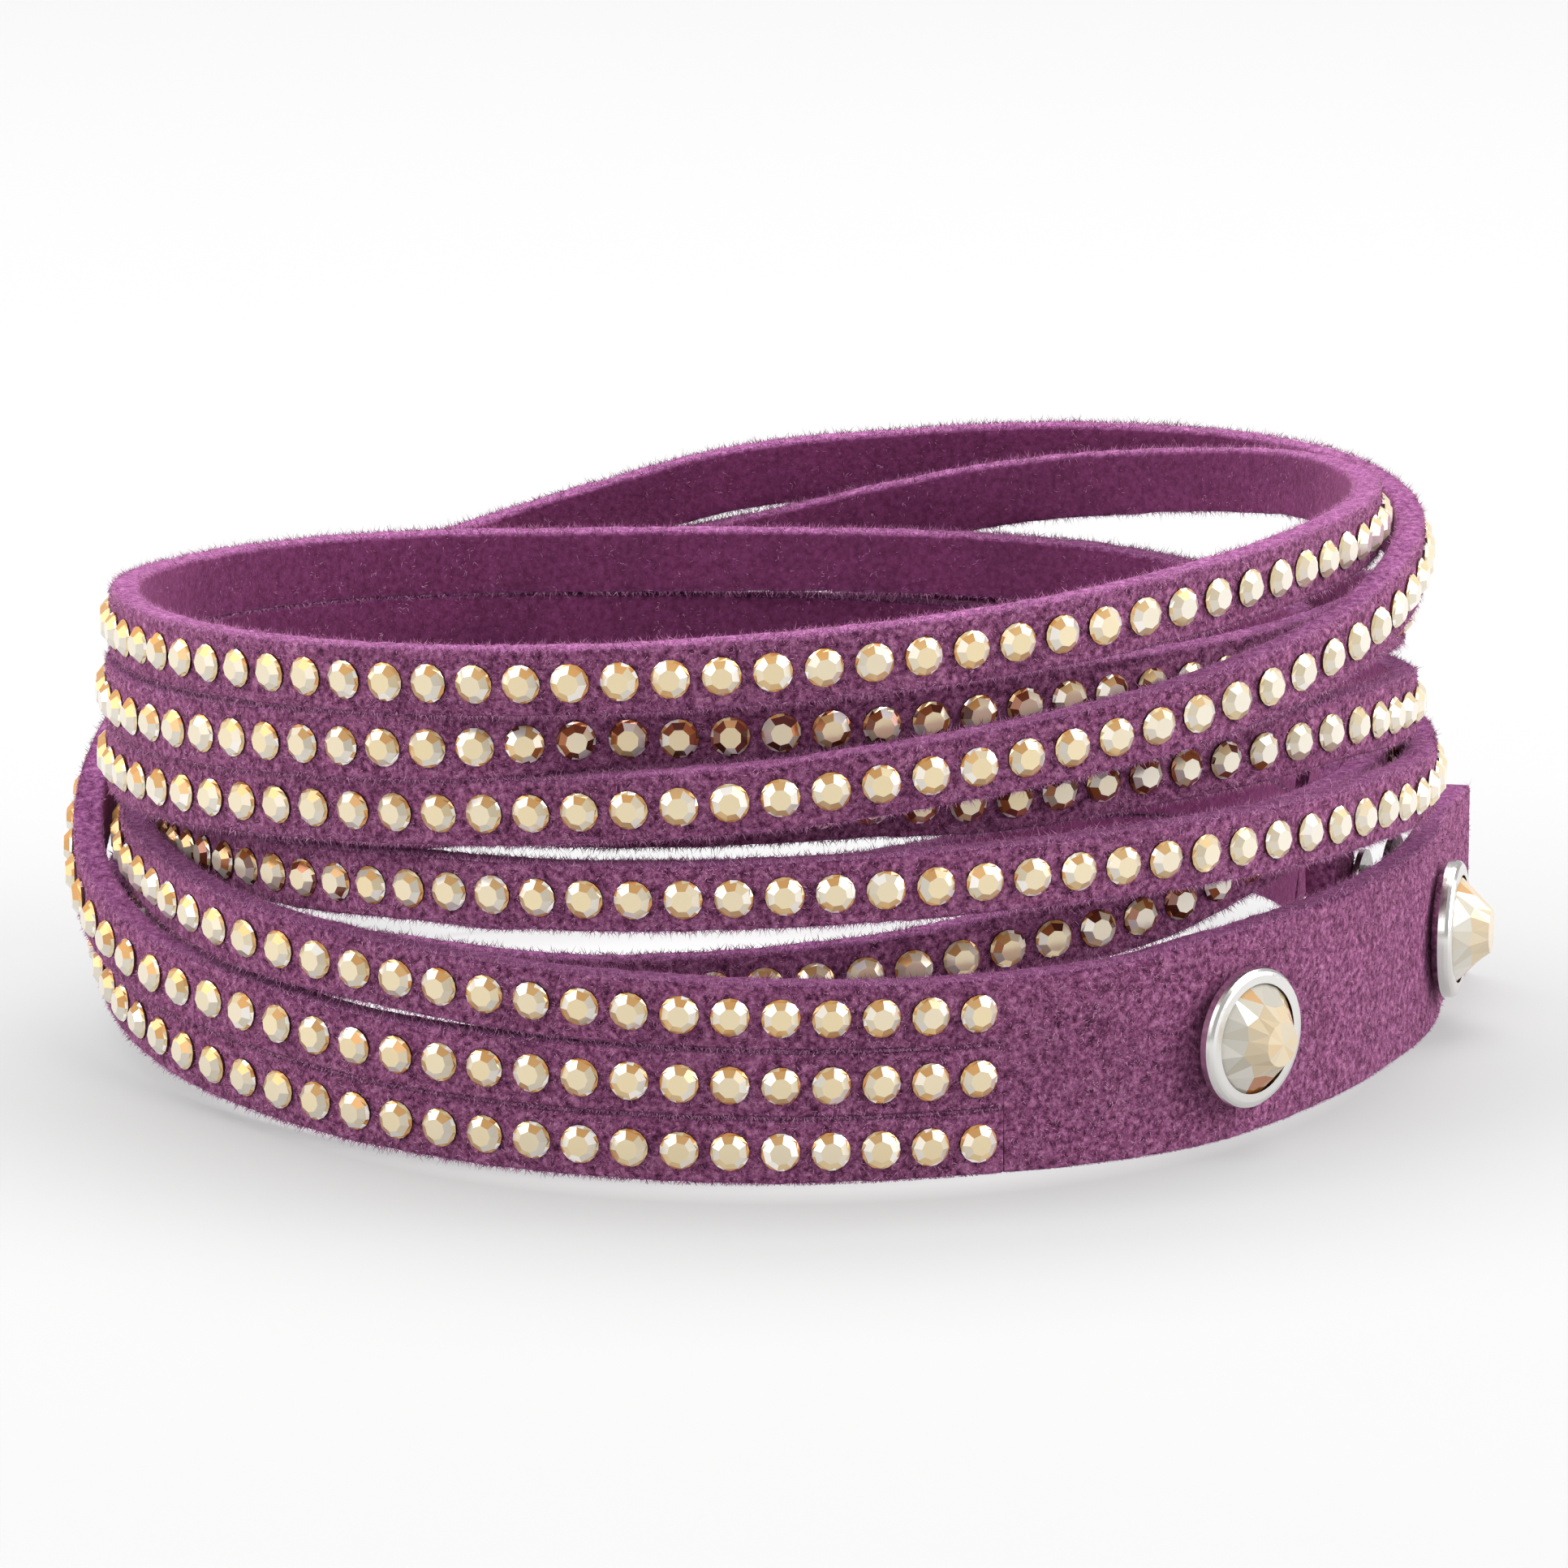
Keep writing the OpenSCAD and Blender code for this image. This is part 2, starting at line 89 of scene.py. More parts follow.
def readMark(tree, name):
    return addNode(tree, "ShaderNodeAttribute", {"attribute_name": name}).outputs["Fac"]


def addRamp(tree, value, stops):
    # the socket with the colours that a value goes through from 0 to 1
    node = addNode(tree, "ShaderNodeValToRGB", None, {"Fac": value})
    elements = node.color_ramp.elements
    while len(elements) > 1:
        elements.remove(elements[-1])
    elements[0].position, elements[0].color = stops[0][0], linear(stops[0][1])
    for position, colour in stops[1:]:
        elements.new(position).color = linear(colour)
    return node.outputs[0]


def addMix(tree, share, first, second):
    # the socket with two colours mixed, all of the second one at a share of 1
    links = {0: share, 6: first, 7: second}
    return addNode(tree, "ShaderNodeMix", {"data_type": "RGBA"}, links).outputs[2]


def addBump(tree, height, strength, distance):
    settings = {"Strength": strength, "Distance": distance * mm}
    return addNode(tree, "ShaderNodeBump", settings, {"Height": height}).outputs[0]


def addSurface(tree, settings, links):
    shader = addNode(tree, "ShaderNodeBsdfPrincipled", settings, links)
    addNode(tree, "ShaderNodeOutputMaterial", None, {"Surface": shader.outputs[0]})


def addObject(name, data):
    piece = bpy.data.objects.new(name, data)
    bpy.context.scene.collection.objects.link(piece)
    return piece


def onlySelect(piece):
    bpy.ops.object.select_all(action="DESELECT")
    piece.select_set(True)
    bpy.context.view_layer.objects.active = piece


def dress(mesh, material):
    mesh.materials.clear()
    mesh.materials.append(material)


def setMark(piece, name, values, domain="POINT"):
    mark = piece.data.attributes.new(name, "FLOAT", domain)
    mark.data.foreach_set("value", np.asarray(values, np.float32))


def aimObject(piece, spot):
    # puts a camera or a light at its place, with its -Z axis on its aim and Y up
    place, aim = Vector(spot["place"]), Vector(spot["aim"])
    piece.location = place * mm
    piece.rotation_mode = "QUATERNION"
    piece.rotation_quaternion = (aim - place).to_track_quat("-Z", "Y")


def addCamera():
    data = bpy.data.cameras.new("camera")
    data.lens, data.sensor_width, data.sensor_fit = view["lens"], view["sensor"], "HORIZONTAL"
    data.clip_start, data.clip_end = 0.01, 20
    camera = addObject("camera", data)
    aimObject(camera, view)
    bpy.context.scene.camera = camera


def addSoftbox(name, box):
    data = bpy.data.lights.new(name, "AREA")
    data.shape = "RECTANGLE"
    data.size, data.size_y = box["size"][0] * mm, box["size"][1] * mm
    data.energy = box["power"]
    aimObject(addObject(name, data), box)


def addWorld():
    scene = bpy.context.scene
    scene.view_settings.view_transform = "Standard"
    world = bpy.data.worlds.new("paleStudio")
    world.use_nodes = True
    tree = world.node_tree
    tree.nodes.clear()
    light = addNode(tree, "ShaderNodeBackground", {"Color": (1, 1, 1, 1), "Strength": worldLight})
    addNode(tree, "ShaderNodeOutputWorld", None, {"Surface": light.outputs[0]})
    scene.world = world


def addTable():
    # a white table lit from below, glowing evenly, with a painted pool of light in the wrist hollow
    # so that the gaps stay pale
    bpy.ops.mesh.primitive_plane_add(size=table["width"] * mm, location=(0, 0, 0))
    floor = bpy.context.object
    floor.name = "floor"
    material, tree = newMaterial("glowingTableWithPaintedHollowLight")
    away = addNode(tree, "ShaderNodeVectorMath", {"operation": "LENGTH"}, {0: objectPlace(tree)})
    near, far = table["hollow"]
    # painted light: the floor glows brighter inside the hollow than the table's even glow
    glow = addNode(tree, "ShaderNodeMapRange",
                   {"From Min": near * mm, "From Max": far * mm,
                    "To Min": table["hollowPaintedLight"], "To Max": table["glow"]},
                   {"Value": away.outputs["Value"]})
    addSurface(tree,
               {"Base Color": linear(table["colour"]), "Roughness": 0.7,
                "Specular IOR Level": 0.1, "Emission Color": (1, 1, 1, 1)},
               {"Emission Strength": glow.outputs["Result"]})
    floor.data.materials.append(material)


addCamera()
addWorld()
for name, box in softboxes.items():
    addSoftbox(name, box)
addTable()

print("stage: the wrap's paths")

# The loop's line seen from above, and the paths along it, as the part's source has
# them. A turn angle is 0 at the right and 90 at the front.
loop = {
    "radius": 30, "oval": 2.9, "corner": 1.1, "skew": 0.3, "shift": (0.9, 1.8),
    "origin": (2, 1.4),
}
# the slits are drawn nearly shut, because the nap fills them
strapSize = {
    "width": 9.7, "tabWidth": 10, "thick": 1.5, "slit": 0.02, "slitStart": 62,
    "slitEnd": 1062, "firstStone": 64.7, "lastStone": 1042, "pitch": 2.43,
}
# how many points along a path its distances and its length are measured at
samples = {"distance": 4000, "length": 2000}

# Columns: turn angle, height of the middle, and how far the outer face stands outside
# the loop's line. A tab has its width as a fourth column.
outerTab = [
    [-19, 5, 5.1, 10], [-12, 5, 2.4, 10], [-5, 5, 1.4, 10], [1, 5, 0.8, 10], [8, 5, 0.2, 10],
    [20, 5.1, 0.2, 10.2], [30, 5.15, 0.65, 10.3], [40, 5.15, 1.15, 10.3], [50, 4.95, 1, 9.9],
    [62, 4.85, 0.3, 9.7]]
innerTab = [
    [1062, 8.55, -3.25, 9.7], [1067, 7.2, -3.1, 9.9], [1073, 5.95, -2.95, 10],
    [1078, 5.4, -3.25, 10], [1083, 5.15, -3.4, 10]]
upperStrand = [
    [100, 8.6, 0.1], [140, 9.3, 0], [150, 9.5, -0.1], [160, 9.75, -0.5], [168, 9.9, -0.9],
    [180, 10, -1], [195, 10.5, -0.8], [205, 11.2, -0.6], [212, 12, 0.1], [225, 13.6, 0.8],
    [240, 15.5, 0.8], [255, 17.8, 0.8], [270, 19.4, 0.1], [277, 20.2, -0.3], [285, 21.2, -0.5],
    [300, 22.9, -0.7], [315, 24.2, -1.3], [330, 25.4, -1.6], [345, 26.1, -1.75],
    [370, 26.8, -1.75], [390, 26.8, -1], [410, 26.4, -0.3], [450, 25.3, 0.4], [490, 23.75, 0.6],
    [525, 22.3, -0.2], [545, 21.5, -0.7], [565, 20.6, -1.4], [585, 20, -1.9], [610, 19.5, -2.3],
    [640, 19.4, -2.8], [670, 19, -2.4], [690, 18.3, -2.3], [698, 17.5, -2.2], [707, 16.9, -1.1],
    [716, 17.1, 0.1], [725, 17.7, -0.1], [738, 18.5, -0.3], [755, 18.3, -1.5],
    [765, 18.2, -1.9], [780, 17.9, -2.15], [795, 18.05, -2.35], [825, 17.5, -2.4],
    [845, 17, -2.4], [860, 16.5, -2.5], [890, 15.3, -2.7], [905, 14.7, -3.7], [918, 14, -4.55],
    [935, 13.1, -4.75], [950, 12.5, -4.6], [980, 11.6, -4.4], [1000, 11.3, -4.3],
    [1020, 11.7, -4.2], [1040, 12.3, -3.85], [1053, 12.25, -3.5]]
middleStrand = [
    [100, 5.15, 0.1], [130, 5.3, 0.1], [150, 5.9, 0.3], [165, 6.5, 0.8], [180, 8.3, 1.35],
    [195, 11.6, 1.6], [210, 15.2, 1.6], [225, 17.5, 1.2], [240, 19.2, 0.9], [255, 21.2, 1],
    [270, 22.95, 1.4], [285, 23.7, 1.8], [300, 24.4, 1.8], [315, 24.9, 1.5], [330, 25.2, 1],
    [345, 25, 0.5], [360, 24.5, 0.4], [380, 23, 0.6], [400, 21.6, 0.6], [430, 20, 0.1],
    [445, 19.2, -0.1], [460, 18.5, -0.2], [480, 17.6, -0.2], [500, 16.7, -0.1],
    [525, 15.4, -0.1], [545, 14.7, -0.5], [553, 14.3, -1.6], [560, 14.1, -2.35],
    [570, 13.7, -2.55], [590, 13.1, -2], [620, 12.4, -1.8], [660, 11.6, -1.8], [682, 11, -1.6],
    [692, 12.1, -1.7], [700, 13.2, -1.5], [707, 13.6, -1.35], [716, 13.75, -1.2],
    [730, 13.6, -1.2], [741, 13.6, -1.2], [747, 13.1, -1.2], [753, 12.4, -1.3],
    [758, 11.8, -1.4], [765, 11.2, -1.6], [778, 10.55, -2.1], [790, 9.9, -2.2],
    [800, 9.55, -2.2], [830, 8.65, -2.2], [845, 8.6, -2.2], [860, 8.35, -2.3], [880, 7.5, -2.8],
    [892, 6.9, -2.85], [902, 6.5, -2.3], [912, 6.1, -1.6], [925, 5.9, -1.5], [940, 5.9, -1.5],
    [960, 6, -1.6], [980, 6.6, -2.3], [995, 7.3, -3.4], [1012, 7.5, -4.15], [1026, 7.95, -4.1],
    [1040, 8.85, -3.85], [1053, 9, -3.5]]
lowerStrand = [
    [100, 1.8, 0], [130, 2, 0], [155, 2.65, 0.1], [170, 3.4, 0.1], [180, 4.2, 0.2],
    [188, 5, 0.4], [195, 5.7, 0.7], [210, 7.2, 0.8], [240, 10.6, 0.8], [270, 14, 0.8],
    [300, 16.6, 0.8], [330, 18.9, 0.6], [345, 20.4, 0.2], [355, 21.2, -0.9], [362, 21.7, -1.6],
    [370, 22, -2], [385, 22.3, -2.1], [410, 22.5, -2.1], [430, 22.1, -2.15], [442, 21.9, -2.25],
    [455, 21.55, -2.25], [465, 21.45, -1.85], [474, 21.2, -0.4], [482, 20.8, 0.2],
    [490, 20.45, 0.4], [525, 18.7, 0.2], [545, 18.1, -0.5], [565, 17.3, -1.3],
    [585, 16.7, -1.8], [610, 16.1, -2], [640, 15.7, -2.1], [665, 15.1, -1.9], [677, 14.9, -1.6],
    [686, 14.9, -0.6], [690, 14.8, 0], [694, 14.5, 0.5], [700, 13.9, 0.9], [708, 13.5, 1.1],
    [716, 13.4, 1.2], [726, 13.7, 1.2], [735, 14.2, 1.2], [765, 14.8, 1.2], [795, 14.6, 0.4],
    [825, 13.95, -0.2], [845, 13.4, -1], [860, 12.7, -1.8], [885, 11.6, -3.05],
    [900, 10.6, -3.3], [907, 9.9, -3.5], [915, 8.8, -3.8], [930, 6.2, -3.9], [945, 3.6, -3.9],
    [957, 2, -3.9], [968, 1.7, -3.9], [980, 1.7, -3.9], [1000, 1.7, -4], [1020, 3.5, -4.1],
    [1032, 4.85, -4], [1042, 5.45, -3.85], [1053, 5.75, -3.5]]


def sharedRow(row, level):
    # a tab's row, moved to a strand's third of it
    return [row[0], row[1] + level * row[3] / 3, row[2]]


def fullPath(strand, level):
    ends = [sharedRow(row, level) for row in outerTab[-2:]]
    return np.array(ends + strand + [sharedRow(row, level) for row in innerTab[:2]], float)


def along(path, turns, column):
    # a smooth curve through every row of a path
    turns = np.atleast_1d(np.asarray(turns, float))
    keys, values = path[:, 0], path[:, column]
    slopes = np.empty(len(keys))
    slopes[1:-1] = (values[2:] - values[:-2]) / (keys[2:] - keys[:-2])
    slopes[0] = (values[1] - values[0]) / (keys[1] - keys[0])
    slopes[-1] = (values[-1] - values[-2]) / (keys[-1] - keys[-2])
    i = np.clip(np.searchsorted(keys, turns, "right") - 1, 0, len(keys) - 2)
    span = keys[i + 1] - keys[i]
    t = (turns - keys[i]) / span
    return ((2 * t ** 3 - 3 * t ** 2 + 1) * values[i] + (t ** 3 - 2 * t ** 2 + t) * span * slopes[i]
            + (3 * t ** 2 - 2 * t ** 3) * values[i + 1] + (t ** 3 - t ** 2) * span * slopes[i + 1])


def heightAt(path, turns):
    return along(path, turns, 1)


def outAt(path, turns):
    return along(path, turns, 2)


def widthAt(path, turns):
    return along(path, turns, 3)


def linePoints(path, turns):
    a = np.radians(np.atleast_1d(np.asarray(turns, float)))
    r = (loop["radius"] + loop["shift"][0] * np.cos(a) - loop["shift"][1] * np.sin(a)
         + loop["oval"] * np.cos(2 * a) - loop["skew"] * np.sin(2 * a)
         - loop["corner"] * np.sin(3 * a) + outAt(path, turns))
    return np.stack([r * np.cos(a) - loop["origin"][0], -r * np.sin(a) - loop["origin"][1],
                     heightAt(path, turns)], 1)


def facings(path, turns):
    # unit vectors at turn angles: ahead along the strap, out of the loop, and up across it
    turns = np.atleast_1d(np.asarray(turns, float))
    ahead = linePoints(path, turns + 1) - linePoints(path, turns - 1)
    ahead /= np.linalg.norm(ahead, axis=1)[:, None]
    out = np.stack([-ahead[:, 1], ahead[:, 0], np.zeros(len(turns))], 1)
    out /= np.linalg.norm(out, axis=1)[:, None]
    return ahead, out, np.cross(ahead, out)


def travelAlong(path, start, end):
    # turn angles close together between two ends, and the distance travelled to each
    fine = np.linspace(start, end, samples["distance"])
    steps = np.linalg.norm(np.diff(linePoints(path, fine), axis=0), axis=1)
    return fine, np.concatenate([[0], np.cumsum(steps)])


def evenTurns(path, start, end, step):
    # turn angles between two ends, an even distance apart along the strap
    fine, travelled = travelAlong(path, start, end)
    count = max(2, int(round(travelled[-1] / step)))
    return np.interp(np.linspace(0, travelled[-1], count + 1), travelled, fine)


def stoneTurns(path):
    turns, turn = [], strapSize["firstStone"]
    while turn < strapSize["lastStone"]:
        turns.append(turn)
        gap = linePoints(path, [turn + 2])[0] - linePoints(path, [turn])[0]
        turn += strapSize["pitch"] * 2 / np.linalg.norm(gap)
    return turns


outerPath, innerPath = np.array(outerTab, float), np.array(innerTab, float)
strandPaths = [fullPath(upperStrand, 1), fullPath(middleStrand, 0), fullPath(lowerStrand, -1)]
strandWidth = strapSize["width"] / 3 - strapSize["slit"]


def noiseAt(point, size, seed):
    # smooth noise from -1 to 1 at a point, with lumps of about that size; each seed
    # reads it at another place
    return noise.noise(Vector(point) / size + Vector((seed * 7.3, 0, 0)))


print("stage: suede strap")

suedeStrap = {
    "ringStep": 0.5, "edgeRound": 0.18, "ragged": 0.09, "raggedLumps": 0.7, "wavy": 0.06,
    "wavyLumps": 4.2, "faceShare": 0.35, "tabSteps": 18, "strandSteps": 6, "edgeSteps": 3,
}
# two strands are the sides of a shut slit where they are this near and this level; the
# edges there stand out to meet but for a last bit, and are painted dark as the shade in the slit
slit = {"clear": 0.55, "clearFade": 0.25, "level": 0.8, "levelFade": 0.3, "left": 0.035}


def bandSection(halfWidth, faceSteps):
    # corners of the strap's section as [across, depth, how much it is cut edge, how much
    # inside]: the outer face and the lower edge, and then the same turned half round
    thick, r, edgeSteps = strapSize["thick"], suedeStrap["edgeRound"], suedeStrap["edgeSteps"]
    arc = [math.radians(a) for a in (30, 60)]
    half = [[(halfWidth - r) * (1 - 2 * i / faceSteps), 0, 0, 0] for i in range(faceSteps + 1)]
    half += [[-halfWidth + r - r * math.sin(a), r - r * math.cos(a), 0.5, 0] for a in arc]
    half += [[-halfWidth, r + (thick - 2 * r) * i / edgeSteps, 1, i / edgeSteps]
             for i in range(edgeSteps + 1)]
    half += [[-halfWidth + r - r * math.cos(a), thick - r + r * math.sin(a), 0.5, 1] for a in arc]
    return np.array(half + [[-across, thick - depth, cut, 1 - inside]
                            for across, depth, cut, inside in half])


def sweptBand(path, turns, halfWidths, faceSteps, seed, reach=None):
    # points, faces and marks of one closed band, with its edges a little ragged; reach
    # is how far the upper and the lower edge stand out past the half width
    look = suedeStrap
    out, up = facings(path, turns)[1:]
    middle = linePoints(path, turns)
    points, marks, faces = [], [], []
    for i in range(len(turns)):
        atEnd = i in (0, len(turns) - 1)
        for across, depth, cut, inside in bandSection(halfWidths[i], faceSteps):
            if reach:
                across *= 1 + reach[0 if across > 0 else 1][i] / halfWidths[i]
            p = middle[i] + across * up[i] - depth * out[i]
            if not atEnd:
                side = math.copysign(1, across)
                rough = (look["ragged"] * noiseAt(p, look["raggedLumps"], seed)
                         + look["wavy"] * noiseAt(p, look["wavyLumps"], seed + 3))
                p = (p + up[i] * side * cut * rough
                     + out[i] * look["faceShare"] * rough * (1 - cut))
            points.append(p)
            marks.append((cut, inside))
    n = len(points) // len(turns)
    for i in range(len(turns) - 1):
        for k in range(n):
            j = (k + 1) % n
            faces.append((i * n + k, i * n + j, (i + 1) * n + j, (i + 1) * n + k))
    faces.append(tuple(range(n - 1, -1, -1)))
    faces.append(tuple((len(turns) - 1) * n + k for k in range(n)))
    return points, faces, marks


def makeSuede():
    # microsuede, a napped cloth of very fine fibres: matt, with a soft pale sheen at
    # grazing angles, dark specks where the nap parts, darker cut edges, and painted shade near
    # black along shut slits
    material, tree = newMaterial("microsuede")
    place = objectPlace(tree)
    # the nap's tufts are about 0.3 mm, and brushed patches 4 mm
    tufts = addNode(tree, "ShaderNodeTexNoise", {"Scale": 3000, "Detail": 6, "Roughness": 0.7},
                    {"Vector": place}).outputs["Fac"]
    patches = addNode(tree, "ShaderNodeTexNoise", {"Scale": 240, "Detail": 3},
                      {"Vector": place}).outputs["Fac"]
    nap = addRamp(tree, tufts,
                  [(0.36, "#38162c"), (0.45, "#673355"), (0.53, "#834a6f"), (0.66, "#a87094")])
    smooth = addRamp(tree, tufts, [(0.35, "#551f42"), (0.65, "#733660")])
    edge = addRamp(tree, tufts, [(0.36, "#4a1b40"), (0.48, "#6f3866"), (0.64, "#965f8a")])
    faces = addMix(tree, readMark(tree, "inside"), nap, smooth)
    colour = addMix(tree, readMark(tree, "cut"), faces, edge)
    brushed = addNode(tree, "ShaderNodeMapRange",
                      {"From Min": 0.35, "From Max": 0.65, "To Min": 0.9, "To Max": 1.08},
                      {"Value": patches})
    shaded = addNode(tree, "ShaderNodeHueSaturation", None,
                     {"Color": colour, "Value": brushed.outputs[0]})
    # painted shade: cut edges along a shut slit are mixed towards near black
    paintedSlitShade = addNode(tree, "ShaderNodeMix", {"data_type": "RGBA", 7: linear("#220d1d")},
                    {0: readMark(tree, "shut"), 6: shaded.outputs[0]})
    addSurface(tree,
               {"Roughness": 0.92, "Specular IOR Level": 0.15, "Sheen Weight": 0.4,
                "Sheen Roughness": 0.4, "Sheen Tint": linear("#cc84b0")},
               {"Base Color": paintedSlitShade.outputs[2], "Normal": addBump(tree, tufts, 0.7, 0.14)})
    return material


def slitSide(s, turns, side):
    # how far the slit beside a strand is shut, from 0 to 1, which is also its edge's painted shade,
    # and how far the edge there stands out to meet the next strand; side is 1 for the upper edge
    # and -1 for the lower
    other = s - side
    if other not in (0, 1, 2):
        return np.zeros(len(turns)), np.zeros(len(turns))
    here, there = strandPaths[s], strandPaths[other]
    gap = linePoints(here, turns) - linePoints(there, turns)
    clear = np.linalg.norm(gap, axis=1) - strandWidth
    level = np.abs(outAt(here, turns) - outAt(there, turns))
    beside = (heightAt(there, turns) - heightAt(here, turns)) * side > 0
    shut = (np.clip((slit["clear"] - clear) / slit["clearFade"], 0, 1)
            * np.clip((slit["level"] - level) / slit["levelFade"], 0, 1) * beside)
    return shut, shut * np.maximum(0, clear / 2 - slit["left"])


def makeStrap():
    points, faces, marks, closed = [], [], [], []

    def take(band, shut):
        base = len(points)
        points.extend(band[0])
        faces.extend(tuple(k + base for k in face) for face in band[1])
        marks.extend(band[2])
        closed.extend(shut)

    step = suedeStrap["ringStep"]
    for seed, path in enumerate((outerPath, innerPath)):
        turns = evenTurns(path, path[0][0], path[-1][0], step)
        band = sweptBand(path, turns, widthAt(path, turns) / 2, suedeStrap["tabSteps"], seed)
        take(band, [0] * len(band[0]))
    for s, path in enumerate(strandPaths):
        turns = evenTurns(path, strapSize["slitStart"], strapSize["slitEnd"], step)
        section = bandSection(strandWidth / 2, suedeStrap["strandSteps"])
        upper, lower = slitSide(s, turns, 1), slitSide(s, turns, -1)
        # the painted slit shade falls on the cut edge at each side of a strand
        shut = [(upper[0][i] if across > 0 else lower[0][i]) * cut
                for i in range(len(turns)) for across, depth, cut, inside in section]
        half = np.full(len(turns), strandWidth / 2)
        take(sweptBand(path, turns, half, suedeStrap["strandSteps"], s + 2,
                       (upper[1], lower[1])), shut)
    mesh = bpy.data.meshes.new("suedeStrap")
    mesh.from_pydata([tuple(p * mm) for p in points], [], faces)
    mesh.materials.append(makeSuede())
    piece = addObject("suedeStrap", mesh)
    setMark(piece, "cut", [m[0] for m in marks])
    setMark(piece, "inside", [m[1] for m in marks])
    setMark(piece, "shut", closed)
    onlySelect(piece)
    bpy.ops.object.shade_smooth_by_angle(angle=math.radians(60))
    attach(piece, "root")
    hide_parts("strap")


makeStrap()

print("stage: suede nap")

# A fibre is drawn twice as wide as it is, so that it shows. The lift is how steeply it
# stands, and a fuzz has fewer long fibres with a higher curve.
outerNap = {
    "count": 190000, "length": (0.1, 0.26), "width": 0.046, "lift": (0.1, 0.6), "tuft": 0.17,
}
outerTufts = {
    "count": 90000, "length": (0.15, 0.34), "width": 0.046, "lift": (0.15, 0.8), "tuft": 0.24,
}
innerNap = {
    "count": 70000, "length": (0.12, 0.3), "width": 0.035, "lift": (0.05, 0.3), "tuft": 0.35,
}
edgeFuzz = {
    "count": 150000, "length": (0.12, 0.42), "width": 0.036, "lift": (0.3, 1.2), "curve": 2.2,
}
edgeFringe = {
    "count": 70000, "length": (0.18, 0.55), "width": 0.04, "lift": (0.5, 1.4), "curve": 1.6,
}
# how the nap lies, in radians from straight ahead, and its shades from 0 for the darkest
napLook = {
    "brushed": -0.5, "swirl": 7, "stray": 0.5, "sunk": 0.01, "patch": 2.5, "speck": 0.26,
    "middleShade": 0.56, "tuftShade": 0.9, "patchShade": 0.3, "ownShade": 0.25,
    "speckFrom": 0.69, "speckShade": 0.15, "thinned": (-0.1, 0.2),
}
# where the fibres of a cut edge stand, most at its outer corner and then at its inner one
fuzzLook = {
    "outerShare": 0.45, "innerShare": 0.25, "corner": 0.18, "clear": 0.1, "sunk": 0.03,
    "stray": 0.7, "outward": 0.1, "outwardSpread": 0.45, "shades": (0.3, 1),
}
# a field of tufts is wide enough for the widest band
fieldWidth = 12


def makeBand(path, start, end, half):
    # one band of the strap; half is its half width, or None where its path has the width
    points = linePoints(path, np.linspace(start, end, samples["length"]))
    length = np.linalg.norm(np.diff(points, axis=0), axis=1).sum()
    width = strapSize["tabWidth"] if half is None else 2 * half
    return {"path": path, "start": start, "end": end, "half": half, "length": length,
            "area": length * width}


bands = [makeBand(path, path[0][0], path[-1][0], None) for path in (outerPath, innerPath)]
bands += [makeBand(path, strapSize["slitStart"], strapSize["slitEnd"], strandWidth / 2)
          for path in strandPaths]


def fibreRoots(band, count, rng):
    # random even places along a band, with the directions there
    path = band["path"]
    fine, travelled = travelAlong(path, band["start"], band["end"])
    turns = np.interp(rng.uniform(0, travelled[-1], count), travelled, fine)
    if band["half"] is None:
        halves = widthAt(path, turns) / 2
    else:
        halves = np.full(count, band["half"])
    return turns, np.interp(turns, fine, travelled), facings(path, turns), halves


def tuftField(rng, length, size):
    # smooth values from 0 to 1 over a band laid flat, with lumps of a size
    grid = rng.random((int(length / size) + 3, int(fieldWidth / size) + 3))

    def value(distance, across):
        x, y = distance / size, (across + fieldWidth / 2) / size
        i, j = x.astype(int), y.astype(int)
        a, b = x - i, y - j
        a, b = a * a * (3 - 2 * a), b * b * (3 - 2 * b)
        return ((grid[i, j] * (1 - a) + grid[i + 1, j] * a) * (1 - b)
                + (grid[i, j + 1] * (1 - a) + grid[i + 1, j + 1] * a) * b)

    return value


def makeFibreMaterial():
    # loose microfibres of the nap: thin and matt with a sheen, each fibre in its own shade from
    # dark to pale
    material, tree = newMaterial("microsuedeFibres")
    colour = addRamp(tree, readMark(tree, "shade"),
                     [(0.0, "#2e1126"), (0.25, "#622f52"), (0.6, "#8a5077"), (1.0, "#bd88aa")])
    addSurface(tree,
               {"Roughness": 0.85, "Specular IOR Level": 0.2, "Sheen Weight": 1,
                "Sheen Roughness": 0.35, "Sheen Tint": linear("#dba4c8")},
               {"Base Color": colour})
    return material


fibreMaterial = makeFibreMaterial()


def makeFibres(name, parts, width):
    # one slim triangle for each fibre; a part is roots, directions, the ways that the
    # fibres face, lengths and shades
    roots, directions, sides, lengths, shades = (np.concatenate(p) for p in zip(*parts))
    directions = directions / np.linalg.norm(directions, axis=1)[:, None]
    wide = np.cross(directions, sides)
    wide *= (width / 2 / np.maximum(np.linalg.norm(wide, axis=1), 1e-6))[:, None]
    points = np.stack([roots - wide, roots + wide, roots + directions * lengths[:, None]], 1)
    points = (points.reshape(-1, 3) * mm).astype(np.float32)
    count = len(roots)
    mesh = bpy.data.meshes.new(name)
    mesh.vertices.add(3 * count)
    mesh.vertices.foreach_set("co", points.ravel())
    mesh.loops.add(3 * count)
    mesh.loops.foreach_set("vertex_index", np.arange(3 * count, dtype=np.int32))
    mesh.polygons.add(count)
    mesh.polygons.foreach_set("loop_start", np.arange(0, 3 * count, 3, dtype=np.int32))
    mesh.update()
    mesh.materials.append(fibreMaterial)
    piece = addObject(name, mesh)
    setMark(piece, "shade", shades, "FACE")
    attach(piece, "root")


def asColumn(values):
    return np.asarray(values)[:, None]


